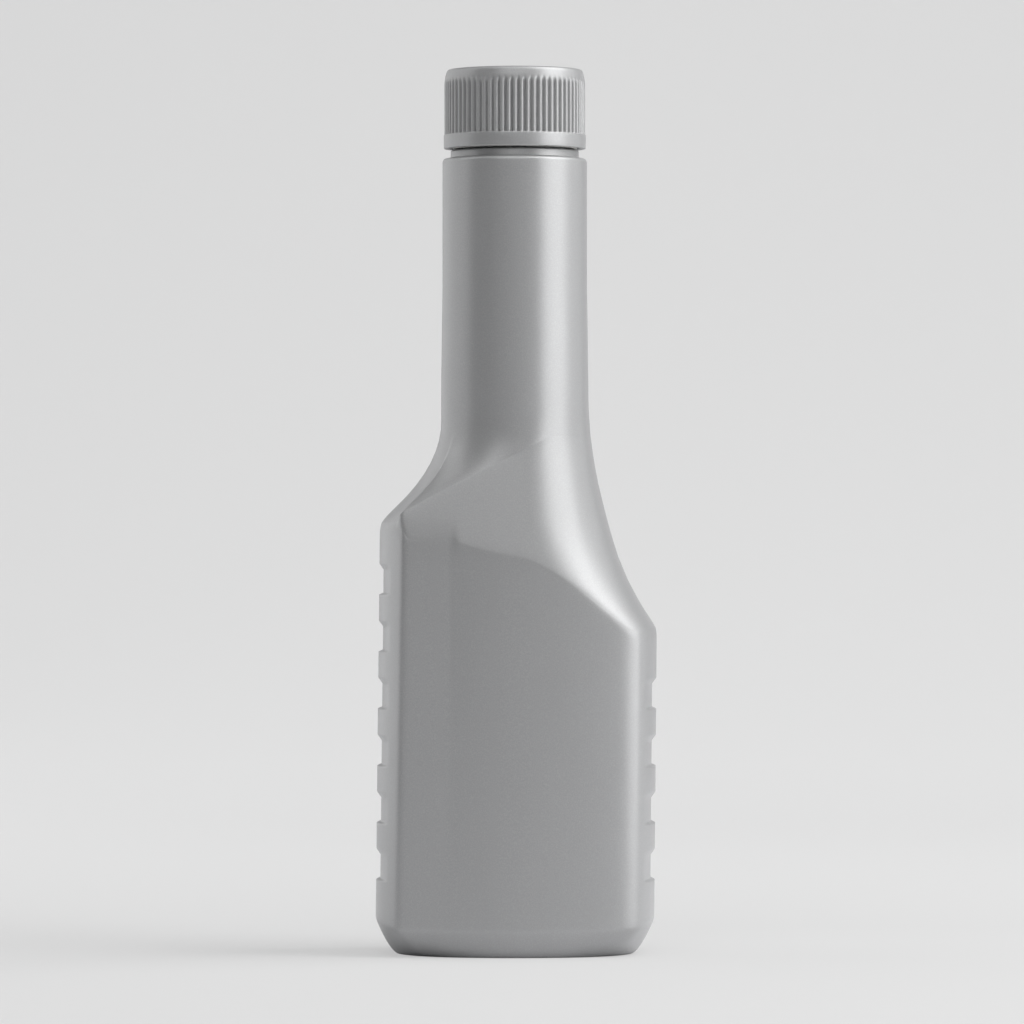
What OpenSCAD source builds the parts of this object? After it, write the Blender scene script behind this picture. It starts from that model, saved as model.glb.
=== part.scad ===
/* [Body] */
// Width across the grips, side to side
body_w = 66.7; // [60:0.1:76]
// Offset of the body's middle to the right of the neck's axis
body_shift = 0.35; // [-1:0.05:1]
// Depth at the middle of the front and back panels
body_d = 46; // [42:0.5:52]
// Radius of the bow of the front and back panels, seen from above
panel_bow_r = 98; // [75:1:180]
// Radius of the bow of the side walls, seen from above
side_bow_r = 43; // [38:1:60]
// Crispness of the left upright corners, where 2 is an ellipse and more is squarer
left_corner_power = 60; // [20:5:90]
// Crispness of the right upright corners, where 2 is an ellipse and more is squarer
right_corner_power = 26; // [14:2:60]
// Loss of half width from the foot up to the left shoulder
left_draft = 1; // [0:0.1:2]
// Loss of half width from the right shoulder down to the foot
right_draft = 0.6; // [0:0.1:2]
// Turn of the flat strip beside the left grips, at the foot
strip_turn_low = 6.5; // [3:0.5:8]
// Turn of the flat strip beside the left grips, at the shoulder
strip_turn_top = 2; // [0:0.5:6]
// Wall thickness of the blown shell
wall = 1.1; // [0.8:0.1:1.6]

/* [Foot] */
// Height of the rounding between the side walls and the foot
foot_side_h = 8.2; // [6:0.1:12]
// Height of the rounding between the panels and the foot
foot_front_h = 6.2; // [4:0.1:9]
// Width of the oval that stands on the ground
foot_w = 55.6; // [50:0.2:58]
// Depth of the oval that stands on the ground
foot_d = 40.5; // [34:0.5:41]
// Squareness of that oval, where 2 is an ellipse and more is squarer
foot_power = 2.2; // [2:0.1:4]
// Width of the standing rim
rim_w = 2.2; // [1.5:0.1:3.5]
// Height of the hollow pushed up into the foot
push_up_h = 3; // [2:0.1:5]

/* [Shoulders] */
// Height where the left wall turns in to the neck
left_shoulder_z = 102; // [98:0.5:104]
// Height where the left shoulder has become the upright neck
left_neck_z = 126; // [122:0.5:129]
// Height where the right flank starts to swell from the neck
right_flare_z = 133.5; // [130:0.5:136]
// Height where the flank's long upper arc ends and its straight part starts
flank_joint_z = 106.5; // [103:0.5:110]
// Height where the straight part ends and the tighter lower arc starts
flank_bend_z = 99.5; // [96:0.5:102]
// Radius of the flank's upper arc
flank_upper_r = 106; // [95:1:120]
// Radius of the flank's lower arc
flank_lower_r = 64; // [55:1:80]
// Height where the leaning facet leaves the middle of the front panel
facet_z = 94; // [90:0.5:96]
// Lean of the facet back from upright
facet_lean = 11.4; // [9:0.1:12]
// Turn of the facet towards the left wall
facet_turn = 2.6; // [0:0.1:4]
// Radius of the bow that turns the facet's right part towards the flank
facet_bow_r = 125; // [100:1:180]
// Width of that bow
facet_bow_w = 8.8; // [6:0.2:12]
// Distance from the middle line to the left end of that bow
facet_bow_x = 10; // [5:0.5:12]
// Rise of the facet's upper edge for each millimetre to the right
crease_slope = 0.49; // [0.4:0.01:0.55]
// Height of the facet's upper edge on the middle line
crease_z = 118; // [116:0.1:120]
// Distance right of the middle line where that edge stops climbing
crease_end_x = 9; // [6:0.5:12]

/* [Grips] */
// Height of the lowest groove's middle
groove_z = 20.6; // [19:0.1:23]
// Spacing of the grooves
groove_pitch = 13.5; // [12.8:0.1:14]
// Height of a groove's floor
groove_floor_h = 5.35; // [4:0.05:6.5]
// Height of the crisp ledge at a groove's lower edge
groove_ledge_h = 0.5; // [0.3:0.1:1]
// Height of the slope at a groove's upper edge
groove_ramp_h = 1.6; // [0.8:0.1:2.2]
// Depth of a groove
groove_depth = 1; // [0.5:0.1:1.4]
// Distance from the middle of the side wall at which a groove has run out
groove_reach = 15.5; // [12:0.5:17]
// Grooves on the left wall
left_grooves = 6; // [5:1:6]
// Grooves on the right wall
right_grooves = 4; // [3:1:4]

/* [Neck] */
// Diameter of the neck at its top
neck_d = 34.3; // [33:0.1:36]
// Diameter of the neck where the shoulders start
neck_root_d = 34.9; // [34:0.1:36.5]
// Height where the free-form shoulders end and the round neck starts
neck_root_z = 135; // [134.5:0.5:142]
// Height where the neck's draft ends
neck_draft_z = 158; // [150:1:170]
// Height of the flat top of the neck, under the collar
neck_top_z = 188.3; // [180:0.1:195]
// Rounding of the neck's top edge
neck_round = 1; // [0.5:0.1:1.4]
// Thickness of the neck's flat top
neck_top_t = 1.5; // [1:0.1:2]

/* [Neck finish] */
// Diameter of the collar under the cap
collar_d = 30.4; // [29.6:0.1:30.8]
// Height of the collar
collar_h = 1.9; // [1.6:0.1:3]
// Diameter of the finish between the turns of thread
finish_d = 25.1; // [24.5:0.1:25.5]
// Diameter over the thread
thread_d = 27.4; // [27:0.1:27.6]
// Diameter of the mouth's bore
bore_d = 22; // [20:0.1:22.4]
// Height of the finish above the neck's flat top
finish_h = 14.7; // [14:0.1:16]
// Height above the collar at which the thread starts
thread_start_h = 3.6; // [3:0.1:4]
// Rise of the thread in one turn
thread_pitch = 4.233; // [3.8:0.001:4.6]
// Turns of thread on the finish and in the cap
thread_turns = 1.4; // [1:0.1:1.6]
// Height of a thread ridge at its root
thread_root_h = 2.1; // [1.6:0.1:2.2]
// Height of a thread ridge at its crest
thread_crest_h = 0.8; // [0.5:0.1:1]

/* [Closure] */
// Diameter over the ribs of the outer cap
cap_d = 33.4; // [33.2:0.1:34]
// Height of the smooth band at the outer cap's lower edge
band_h = 3.3; // [2.5:0.1:4.5]
// Gap between the collar and the cap's lower edge
skirt_gap = 0.4; // [0.3:0.1:0.8]
// Step from the ribs out to the smooth band
band_step = 0.15; // [0.05:0.05:0.4]
// Ribs around the outer cap
rib_count = 68; // [48:2:80]
// Depth of the valleys between the ribs
rib_depth = 0.6; // [0.3:0.05:0.7]
// Distance from the cap's top down to the tips of the ribs
rib_drop = 2.5; // [2.1:0.1:3.5]
// Thickness of the outer cap's top
cap_top_t = 1.2; // [1:0.1:1.6]
// Inner diameter of the outer cap's skirt
shell_bore_d = 30.9; // [30.8:0.1:31.2]
// Downward travel of the outer cap against the inner one
push_travel = 1.6; // [1.4:0.1:1.8]
// Height of the interlocking teeth on each cap
tooth_h = 1.3; // [1:0.1:1.5]
// Width of a tooth, in from its outer end
tooth_w = 2.8; // [2:0.1:3.4]
// Inner diameter of the ring of teeth
teeth_bore_d = 21; // [18:0.2:21.8]
// Teeth on each cap
tooth_count = 8; // [6:1:10]
// Thickness of the inner cap's top
plate_t = 1.1; // [0.9:0.1:1.4]
// Wall thickness of the inner cap's skirt
inner_wall = 0.8; // [0.7:0.05:0.9]
// Thickness of the sealing wad
wad_t = 0.9; // [0.6:0.1:1.2]
// Radial clearance between a thread's crest and the wall that faces it
thread_clear = 0.25; // [0.2:0.01:0.3]
// Gap between parts that pass each other without touching
gap = 0.3; // [0.2:0.05:0.4]
// Radial clearance between each cap and the other one's catch
catch_clear = 0.22; // [0.15:0.01:0.25]

/* [Hidden] */

shell_colour = [0.60, 0.61, 0.62];
liner_colour = [0.93, 0.93, 0.90];
inner_colour = [0.88, 0.88, 0.86];

// Heights of the neck finish and the closure, each standing on the one before
collar_z = neck_top_z + collar_h;
mouth_z = neck_top_z + finish_h;
wad_z = mouth_z + wad_t;
plate_z = wad_z + plate_t;
ceiling_z = plate_z + push_travel + tooth_h + gap;
cap_z = ceiling_z + cap_top_t;
skirt_z = collar_z + skirt_gap;

// Facets on the exact round faces
$fn = 96;

function clamp(v, low, high) = min(max(v, low), high);
function mix(a, b, t) = a + (b - a) * t;
function ease(t) = let (u = clamp(t, 0, 1)) u * u * (3 - 2 * u);
function between(v, low, high) = ease((v - low) / (high - low));
// The smaller of two radii, with the corner between them rounded
function soft_min(a, b, power) = pow(pow(a, -power) + pow(b, -power), -1 / power);
// Length of a ray that meets a wall v away, where share is how squarely it runs at that wall
function ray(v, share) = v / max(abs(share), 0.01);

// The blown part of the bottle is a radius for each angle and height. The angle is 0 at the middle
// of the front, -90 at the left wall and 90 at the right wall, and the back mirrors the front.
half_w = body_w / 2;
half_d = body_d / 2;
corner_a = atan2(half_w, half_d);
front_margin_a = 7;
side_margin_a = 6;
front_a = corner_a - front_margin_a;
side_a = corner_a + side_margin_a;
// The flat strip starts at one of the equal steps across the front
front_steps = 7;
strip_a = -front_a * 5 / front_steps;

// Facets of the blown part stay this far outside the round neck that stands on it
facet_allow = 0.04;
function neck_r(z) = facet_allow
    + mix(neck_root_d, neck_d, clamp((z - neck_root_z) / (neck_draft_z - neck_root_z), 0, 1)) / 2;

// Right flank: two arcs that swell from the neck down to the right shoulder
flank_a = asin((right_flare_z - flank_joint_z) / flank_upper_r);
function upper_flank(z) = flank_upper_r - sqrt(pow(flank_upper_r, 2) - pow(max(right_flare_z - z, 0), 2));
flank_end_slope = 0.95;
function lower_flank(z) =
    let (s = min(sin(flank_a) + (flank_bend_z - z) / flank_lower_r, flank_end_slope))
    flank_lower_r * (cos(flank_a) - sqrt(1 - s * s));
function flank_w(z) = neck_r(neck_root_z) + upper_flank(max(z, flank_joint_z))
    + tan(flank_a) * (flank_joint_z - clamp(z, flank_bend_z, flank_joint_z))
    + lower_flank(min(z, flank_bend_z));
function flank_reach(low, high, steps) =
    let (mid = (low + high) / 2)
    steps == 0 ? mid
    : flank_w(mid) > half_w + body_shift ? flank_reach(mid, high, steps - 1)
    : flank_reach(low, mid, steps - 1);
halving_steps = 20;
right_shoulder_z = flank_reach(left_shoulder_z / 2, right_flare_z, halving_steps);

// Body: bowed panels and side walls, and a flat strip that stands proud of the bow beside the left grips
function side_w(a, z) = a < 0
    ? half_w - body_shift - left_draft * (z - foot_side_h) / (left_shoulder_z - foot_side_h)
    : half_w + body_shift - right_draft * (right_shoulder_z - z) / (right_shoulder_z - foot_side_h);
function panel_r(a) =
    let (c = panel_bow_r - half_d)
    sqrt(pow(panel_bow_r, 2) - pow(c * sin(a), 2)) - c * cos(a);
function wall_r(w, a) =
    let (c = side_bow_r - w)
    sqrt(pow(side_bow_r, 2) - pow(c * cos(a), 2)) - c * abs(sin(a));
function strip_r(a, z) =
    let (turn = mix(strip_turn_low, strip_turn_top, z / left_shoulder_z))
    panel_r(strip_a) * cos(strip_a + turn) / cos(a + turn);
function front_r(a, z) = a < strip_a ? max(panel_r(a), strip_r(a, z)) : panel_r(a);
function body_r(a, z) = soft_min(
    front_r(a, z), wall_r(side_w(a, z), a), a < 0 ? left_corner_power : right_corner_power);

// Grooves across the side walls, each over a crisp ledge, running out before the upright corners
function groove_mid(i) = groove_z + i * groove_pitch;
function groove_low(i) = groove_mid(i) - groove_floor_h / 2 - groove_ledge_h;
function groove_high(i) = groove_mid(i) + groove_floor_h / 2 + groove_ramp_h;
function notch(z, count) = max([for (i = [0:count - 1])
    clamp(min((z - groove_low(i)) / groove_ledge_h, (groove_high(i) - z) / groove_ramp_h), 0, 1)]);
function groove(a, z) = groove_depth * notch(z, a < 0 ? left_grooves : right_grooves)
    * max(1 - pow(body_r(a, z) * cos(a) / groove_reach, 2), 0);

// Facet: a plane that leans back over the front and bows on its right, where it runs into the flank
flank_soft_z = facet_z + 7;
flank_crisp_z = facet_z - 20;
soft_power = 2;
crisp_power = 2.9;
neck_blend = 1.2;
steep_a = 80;
function slope_at(a) = tan(clamp(a, -steep_a, steep_a));
function flank_power(z) = mix(
    soft_power, crisp_power, clamp((flank_soft_z - z) / (flank_soft_z - flank_crisp_z), 0, 1));
function bow(x) = let (u = clamp(x, 0, facet_bow_w)) u * (2 * max(x, u) - u) / (2 * facet_bow_r);
function facet_depth(a, z) =
    let (slope = slope_at(a))
    let (flat = (half_d + bow(facet_bow_x) - (z - facet_z) * tan(facet_lean)) / (1 - tan(facet_turn) * slope))
    flat - bow(flat * slope + facet_bow_x);
function facet_and_flank_r(a, z) =
    let (front = ray(facet_depth(a, z), cos(a)))
    a > 0 ? soft_min(front, flank_w(z) / sin(a), flank_power(z)) : front;
function soft_max(a, b, reach) = max(a, b) + reach * pow(max(1 - abs(a - b) / reach, 0), 2) / 4;
function facet_r(a, z) = soft_max(facet_and_flank_r(a, z), neck_r(z), neck_blend * pow(cos(a), 2) + 0.001);

// Lower crease: where the facet crosses the body, and level round the left corner
shoulder_drop = 1.5;
crease_rise = 3;
left_crease_z = left_shoulder_z - shoulder_drop;
shared_z = groove_high(right_grooves - 1);
function crossing(a, low, high, steps) =
    let (mid = (low + high) / 2)
    steps == 0 ? mid
    : facet_r(a, mid) > body_r(a, mid) ? crossing(a, mid, high, steps - 1)
    : crossing(a, low, mid, steps - 1);
function lower_crease_z(a) = clamp(
    crossing(a, left_shoulder_z / 2, right_flare_z, halving_steps), shared_z + crease_rise, left_crease_z);

// Upper crease: a straight climb across the front, seen from the front
function upper_crease_z(a) =
    let (slope = slope_at(a))
    let (x = facet_depth(0, crease_z) * slope / (1 + crease_slope * tan(facet_lean) * slope))
    max(crease_z + crease_slope * clamp(x, -half_w, crease_end_x), left_shoulder_z);

// Above the upper crease the shoulder sweeps in to the neck: a straight slope, then an easy curve.
// On the right the crease dies out, and the flank itself runs up to the neck.
slope_share = 0.82;
crease_fade_start_a = 14;
crease_fade_end_a = 36;
neck_fade_a = 40;
neck_tuck = 1;
function sweep(u) = (u < slope_share ? u * u : slope_share * (2 * u - slope_share))
    / (slope_share * (2 - slope_share));
function shoulder_r(a, z, foot_z, foot_r) =
    let (top_z = mix(left_neck_z, neck_root_z - neck_tuck, between(a, 0, neck_fade_a)))
    neck_r(z) + (foot_r - neck_r(foot_z)) * sweep(clamp((top_z - z) / (top_z - foot_z), 0, 1));

// Blown edges are eased: most at the shoulders' corners, least across the front. Over the flat strip
// the lower crease is eased until it is gone.
edge_reach = 2.4;
strip_reach = 6;
function edge_round(d, reach) = pow(max(1 - abs(d) / reach, 0), 2);
front_round = 0.05;
flank_round = 0.3;
corner_round = 0.45;
function over_strip(a) = between(a, -side_a, -front_a) - between(a, strip_a, strip_a + 4);
function lower_reach(a) = mix(edge_reach, strip_reach, over_strip(a));
function lower_round(a) = mix(front_round, flank_round, between(a, 20, 50))
    + strip_reach * tan(facet_lean) / 4 * over_strip(a);
function upper_round(a) = mix(front_round, corner_round, between(-a, 45, 65));

// Radius at an angle and a height, for an angle whose creases lie at low_z and high_z
function crease_face_r(a, z) = min(facet_r(a, z), body_r(a, z));
function skin_r(a, z, low_z, high_z) =
    (z < low_z ? body_r(a, z) - groove(a, z)
        : z < high_z ? crease_face_r(a, z)
        : mix(shoulder_r(a, z, high_z, crease_face_r(a, high_z)), facet_r(a, z),
            between(a, crease_fade_start_a, crease_fade_end_a)))
    - lower_round(a) * edge_round(z - low_z, lower_reach(a))
    - upper_round(a) * edge_round(z - high_z, edge_reach);

// Level rings at both edges of each groove that the two walls share. Above them the rings fan out
// from right to left, as shares of the way up to the lower crease, and then follow the creases.
function groove_edges(first, last) = [for (i = [first:1:last])
    each [groove_low(i), groove_low(i) + groove_ledge_h, groove_high(i) - groove_ramp_h, groove_high(i)]];
level_rings = groove_edges(0, right_grooves - 1);
fan_rings = [for (z = groove_edges(right_grooves, left_grooves - 1))
    (z - shared_z) / (left_crease_z - shared_z)];

// Column of [radius, height] from the middle of the foot to the neck, moved in by t
push_up_power = 4;
sweep_spacing = 1.6;
foot_rise_power = 1.55;
function foot_oval(a) = soft_min(ray(foot_w / 2, sin(a)), ray(foot_d / 2, cos(a)), foot_power);
function foot_top(a) = mix(foot_front_h, foot_side_h, between(abs(a), front_a, steep_a));
function push_up(a, s, t) = [(foot_oval(a) - rim_w) * s, t + push_up_h * (1 - pow(s, push_up_power))];
function foot_round(a, s, t) = [
    mix(foot_oval(a), body_r(a, foot_top(a)), s) - t * sin(90 * s),
    foot_top(a) * pow(s, foot_rise_power) + t * cos(90 * s)];
function column(a, t, foot_steps, facet_steps, sweep_steps) =
    let (low_z = lower_crease_z(a), high_z = upper_crease_z(a))
    concat(
        [for (s = [0.5, 0.85, 1]) push_up(a, s, t)],
        [for (i = [0:foot_steps]) foot_round(a, i / foot_steps, t)],
        [for (z = concat(
            level_rings,
            [for (share = fan_rings) mix(shared_z, low_z, share)],
            [for (i = [0:facet_steps - 1]) mix(low_z, high_z, i / facet_steps)],
            [for (i = [0:sweep_steps]) mix(high_z, neck_root_z, pow(i / sweep_steps, sweep_spacing))]
        )) [skin_r(a, z, low_z, high_z) - t, z]]);

// Angles around the bottle, closest together at the upright corners
half_angles = concat(
    [for (i = [0:3]) mix(-90, -side_a, i / 4)],
    [for (i = [0:7]) mix(-side_a, -front_a, i / 8)],
    [for (i = [-front_steps:front_steps]) front_a * i / front_steps],
    [for (i = [1:8]) mix(front_a, side_a, i / 8)],
    [for (i = [1:4]) mix(side_a, 90, i / 4)]);

// Rings of points around the bottle, from columns at the given angles
function around(columns, angles, row) = concat(
    [for (i = [0:len(angles) - 1]) let (p = columns[i][row])
        [p[0] * sin(angles[i]), -p[0] * cos(angles[i]), p[1]]],
    [for (i = [len(angles) - 2:-1:1]) let (p = columns[i][row])
        [p[0] * sin(angles[i]), p[0] * cos(angles[i]), p[1]]]);
function rings(columns, angles) = [for (row = [0:len(columns[0]) - 1]) each around(columns, angles, row)];

// Faces between neighbouring rings of n points from point p on, seen from outside or from inside
function ring_faces(p, n, count, outside) = [for (k = [0:count - 2]) for (i = [0:n - 1])
    let (a = p + k * n + i, b = p + k * n + (i + 1) % n)
    each outside ? [[a, a + n, b + n], [a, b + n, b]] : [[a, b + n, a + n], [a, b, b + n]]];
function cap_faces(middle, p, n, outside) = [for (i = [0:n - 1])
    let (a = p + i, b = p + (i + 1) % n)
    outside ? [middle, a, b] : [middle, b, a]];
// Flat ring between an outer ring of 2n points and an inner ring of n points
function rim_faces(outer, inner, n) = [for (i = [0:n - 1])
    let (a = outer + 2 * i, b = outer + 2 * i + 1, c = outer + (2 * i + 2) % (2 * n))
    let (d = inner + i, e = inner + (i + 1) % n)
    each [[a, d, b], [b, d, e], [b, e, c]]];

module blown_shell() {
    inner_t = wall + 2 * facet_allow;
    coarse_angles = [for (i = [0:2:len(half_angles) - 1]) half_angles[i]];
    outer = [for (a = half_angles) column(a, 0, 6, 8, 8)];
    inner = [for (a = coarse_angles) column(a, inner_t, 4, 4, 5)];
    outer_n = 2 * len(half_angles) - 2;
    inner_n = 2 * len(coarse_angles) - 2;
    outer_points = rings(outer, half_angles);
    inner_points = rings(inner, coarse_angles);
    inner_start = len(outer_points);
    under = inner_start + len(inner_points);
    polyhedron(
        points = concat(outer_points, inner_points, [[0, 0, push_up_h], [0, 0, push_up_h + inner_t]]),
        faces = concat(
            cap_faces(under, 0, outer_n, true),
            ring_faces(0, outer_n, len(outer[0]), true),
            rim_faces(inner_start - outer_n, under - inner_n, inner_n),
            ring_faces(inner_start, inner_n, len(inner[0]), false),
            cap_faces(under + 1, inner_start, inner_n, false)));
}

// Corner of a revolved profile, rounded with a quarter circle from angle a onwards
function quarter(x, z, r, a, steps) = [for (i = [0:steps])
    [x + r * cos(a + 90 * i / steps), z + r * sin(a + 90 * i / steps)]];

// Round neck with its finish, standing in the blown shell's wall
module neck_and_finish() {
    tongue = 2;
    top_r = neck_d / 2;
    root_r = neck_root_d / 2;
    lip = 0.4;
    inner_slope = 2;
    ceiling = neck_top_z - neck_top_t;
    rotate_extrude()
        polygon(concat(
            [[root_r - wall, neck_root_z - tongue], [root_r, neck_root_z - tongue]],
            [[root_r, neck_root_z], [top_r, neck_draft_z]],
            quarter(top_r - neck_round, neck_top_z - neck_round, neck_round, 0, 6),
            [[collar_d / 2, neck_top_z], [collar_d / 2, collar_z - lip], [collar_d / 2 - lip, collar_z]],
            [[finish_d / 2, collar_z], [finish_d / 2, mouth_z - lip], [finish_d / 2 - lip, mouth_z]],
            [[bore_d / 2 + lip, mouth_z], [bore_d / 2, mouth_z - lip]],
            [[bore_d / 2, ceiling], [top_r - wall - inner_slope, ceiling]],
            [[top_r - wall, ceiling - inner_slope], [top_r - wall, neck_draft_z]],
            [[root_r - wall, neck_root_z]]));
}

// Thread ridge on a right-handed helix, from a root inside its wall to a crest, dying out at both ends
module thread(root_r, crest_r, start_z) {
    steps = ceil(24 * thread_turns);
    run_out = 3;
    end_rise = 0.02;
    points = [for (i = [0:steps])
        let (a = 360 * thread_turns * i / steps, z = start_z + thread_pitch * a / 360)
        let (rise = clamp(min(i, steps - i) / run_out, end_rise, 1))
        let (crest = mix(root_r, crest_r, rise))
        each [
            [root_r * cos(a), root_r * sin(a), z - thread_root_h / 2],
            [crest * cos(a), crest * sin(a), z - thread_crest_h / 2],
            [crest * cos(a), crest * sin(a), z + thread_crest_h / 2],
            [root_r * cos(a), root_r * sin(a), z + thread_root_h / 2]]];
    last = 4 * steps;
    sides = [for (i = [0:steps - 1]) for (k = [0:3])
        let (a = 4 * i + k, b = 4 * i + (k + 1) % 4)
        each [[a, b, b + 4], [a, b + 4, a + 4]]];
    ends = [[0, 3, 2], [0, 2, 1], [last, last + 1, last + 2], [last, last + 2, last + 3]];
    // The winding turns over when the crest points inwards
    faces = concat(sides, ends);
    polyhedron(points, crest_r > root_r ? faces : [for (f = faces) [f[2], f[1], f[0]]]);
}

thread_bite = 0.3;
thread_play = 0.12;
bottle_thread_z = collar_z + thread_start_h;
// The cap's ridge hangs just under the bottle's, which draws the wad onto the mouth
cap_thread_z = bottle_thread_z - (thread_root_h + thread_crest_h) / 2 - thread_play;

module bottle() {
    color(shell_colour) {
        blown_shell();
        neck_and_finish();
        thread(finish_d / 2 - thread_bite, thread_d / 2, bottle_thread_z);
    }
}

module cap_liner() {
    color(liner_colour)
        translate([0, 0, mouth_z])
            cylinder(d = thread_d - gap, h = wad_t);
}

// Ring of teeth, each a block that follows the cap's round
module teeth(z, height, first_a) {
    tooth_share = 0.42;
    tooth_a = 360 * tooth_share / tooth_count;
    for (i = [0:tooth_count - 1])
        rotate([0, 0, first_a + 360 * i / tooth_count - tooth_a / 2])
            rotate_extrude(angle = tooth_a)
                translate([teeth_bore_d / 2, z])
                    square([tooth_w, height]);
}

// Catch between the caps: a bead in the outer one lifts the flange of the inner one
catch_h = 0.8;
bead_lead = 0.2;
bead_z = collar_z + push_travel + gap;
flange_z = bead_z + catch_h + gap;
inner_cap_r = thread_d / 2 + thread_clear + inner_wall;
bead_r = inner_cap_r + catch_clear;
flange_r = shell_bore_d / 2 - catch_clear;
// Teeth and ribs are rooted this deep in what they stand on
bury = 0.2;

module inner_cap() {
    bore_r = thread_d / 2 + thread_clear;
    color(inner_colour) {
        difference() {
            union() {
                translate([0, 0, skirt_z])
                    cylinder(r = inner_cap_r, h = plate_z - skirt_z);
                translate([0, 0, flange_z])
                    cylinder(r = flange_r, h = catch_h);
            }
            translate([0, 0, skirt_z - 1])
                cylinder(r = bore_r, h = wad_z - skirt_z + 1);
        }
        thread(bore_r + thread_bite, finish_d / 2 + thread_clear, cap_thread_z);
        teeth(plate_z - bury, tooth_h + bury, 0);
    }
}

rib_r = cap_d / 2;
valley_r = rib_r - rib_depth;
band_r = rib_r + band_step;
band_edge = 0.25;

// Edge of the cap's top as steps in from the ribs and down from the face. The last is on the ribs.
crown_steps = [[1.6, 0], [0.95, 0.12], [0.6, 0.5], [0.4, 1.1], [0.18, 2], [0, 3.6]];
crown = [for (p = crown_steps) [rib_r - p[0], cap_z - p[1]]];

module cap_core() {
    run_out = 1.2;
    tip_inset = 0.12;
    band_top_z = skirt_z + band_h;
    rotate_extrude()
        polygon(concat(
            [[0, skirt_z], [band_r - band_edge, skirt_z], [band_r, skirt_z + band_edge]],
            [[band_r, band_top_z - band_edge], [band_r - band_edge, band_top_z]],
            [[valley_r, band_top_z + band_edge], [valley_r, cap_z - rib_drop - run_out]],
            [[rib_r - tip_inset, cap_z - rib_drop]],
            [for (i = [len(crown) - 2:-1:0]) crown[i]],
            [[0, cap_z]]));
}

module cap_ribs() {
    pitch_a = 360 / rib_count;
    root_r = valley_r - bury;
    tip_share = 0.12;
    root_share = 0.31;
    rib = [[-root_share, root_r], [-tip_share, rib_r], [tip_share, rib_r], [root_share, root_r]];
    intersection() {
        translate([0, 0, skirt_z + band_h / 2])
            linear_extrude(height = cap_z - skirt_z - band_h / 2)
                polygon([for (i = [0:rib_count - 1])
                    for (p = rib)
                        let (a = (i + p[0]) * pitch_a)
                        [p[1] * cos(a), p[1] * sin(a)]]);
        rotate_extrude()
            polygon(concat([[0, cap_z]], crown, [[rib_r, skirt_z], [0, skirt_z]]));
    }
}

module outer_cap() {
    bore_r = shell_bore_d / 2;
    color(shell_colour) {
        difference() {
            union() {
                cap_core();
                cap_ribs();
            }
            rotate_extrude()
                polygon([[0, skirt_z - 1], [bore_r, skirt_z - 1], [bore_r, bead_z - bead_lead],
                    [bead_r, bead_z], [bead_r, bead_z + catch_h], [bore_r, bead_z + catch_h],
                    [bore_r, ceiling_z], [0, ceiling_z]]);
        }
        teeth(ceiling_z - tooth_h, tooth_h + bury, 180 / tooth_count);
    }
}

bottle();
cap_liner();
inner_cap();
outer_cap();
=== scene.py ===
import math
import bpy
import bmesh
from mathutils import Matrix, Vector


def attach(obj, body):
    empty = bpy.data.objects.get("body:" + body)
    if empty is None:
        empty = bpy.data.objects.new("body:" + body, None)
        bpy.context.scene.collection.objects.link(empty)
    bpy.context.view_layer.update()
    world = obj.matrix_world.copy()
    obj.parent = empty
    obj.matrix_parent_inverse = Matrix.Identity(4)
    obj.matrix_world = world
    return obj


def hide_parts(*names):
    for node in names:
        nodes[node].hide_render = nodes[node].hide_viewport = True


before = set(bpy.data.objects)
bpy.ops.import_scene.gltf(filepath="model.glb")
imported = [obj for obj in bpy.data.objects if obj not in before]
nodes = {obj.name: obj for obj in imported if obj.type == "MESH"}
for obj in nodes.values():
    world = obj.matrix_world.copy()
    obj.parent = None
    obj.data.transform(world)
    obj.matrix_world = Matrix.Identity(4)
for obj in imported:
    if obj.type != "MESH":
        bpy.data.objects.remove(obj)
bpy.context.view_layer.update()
mm = 0.001
print("frame loaded:", ", ".join(sorted(nodes)))


# Small maths used by all the forms. Angles are in degrees, lengths in millimetres.
def sinD(a):
    return math.sin(math.radians(a))


def cosD(a):
    return math.cos(math.radians(a))


def tanD(a):
    return math.tan(math.radians(a))


def clamp(v, low, high):
    return min(max(v, low), high)


def mix(a, b, t):
    return a + (b - a) * t


def between(v, low, high):
    u = clamp((v - low) / (high - low), 0, 1)
    return u * u * (3 - 2 * u)


def steps(a, b, n):
    return [mix(a, b, i / n) for i in range(n)]


def softMin(a, b, power):
    return (a ** -power + b ** -power) ** (-1 / power)


def ray(v, share):
    return v / max(abs(share), 0.01)  # stays finite where the share is nil


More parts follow.
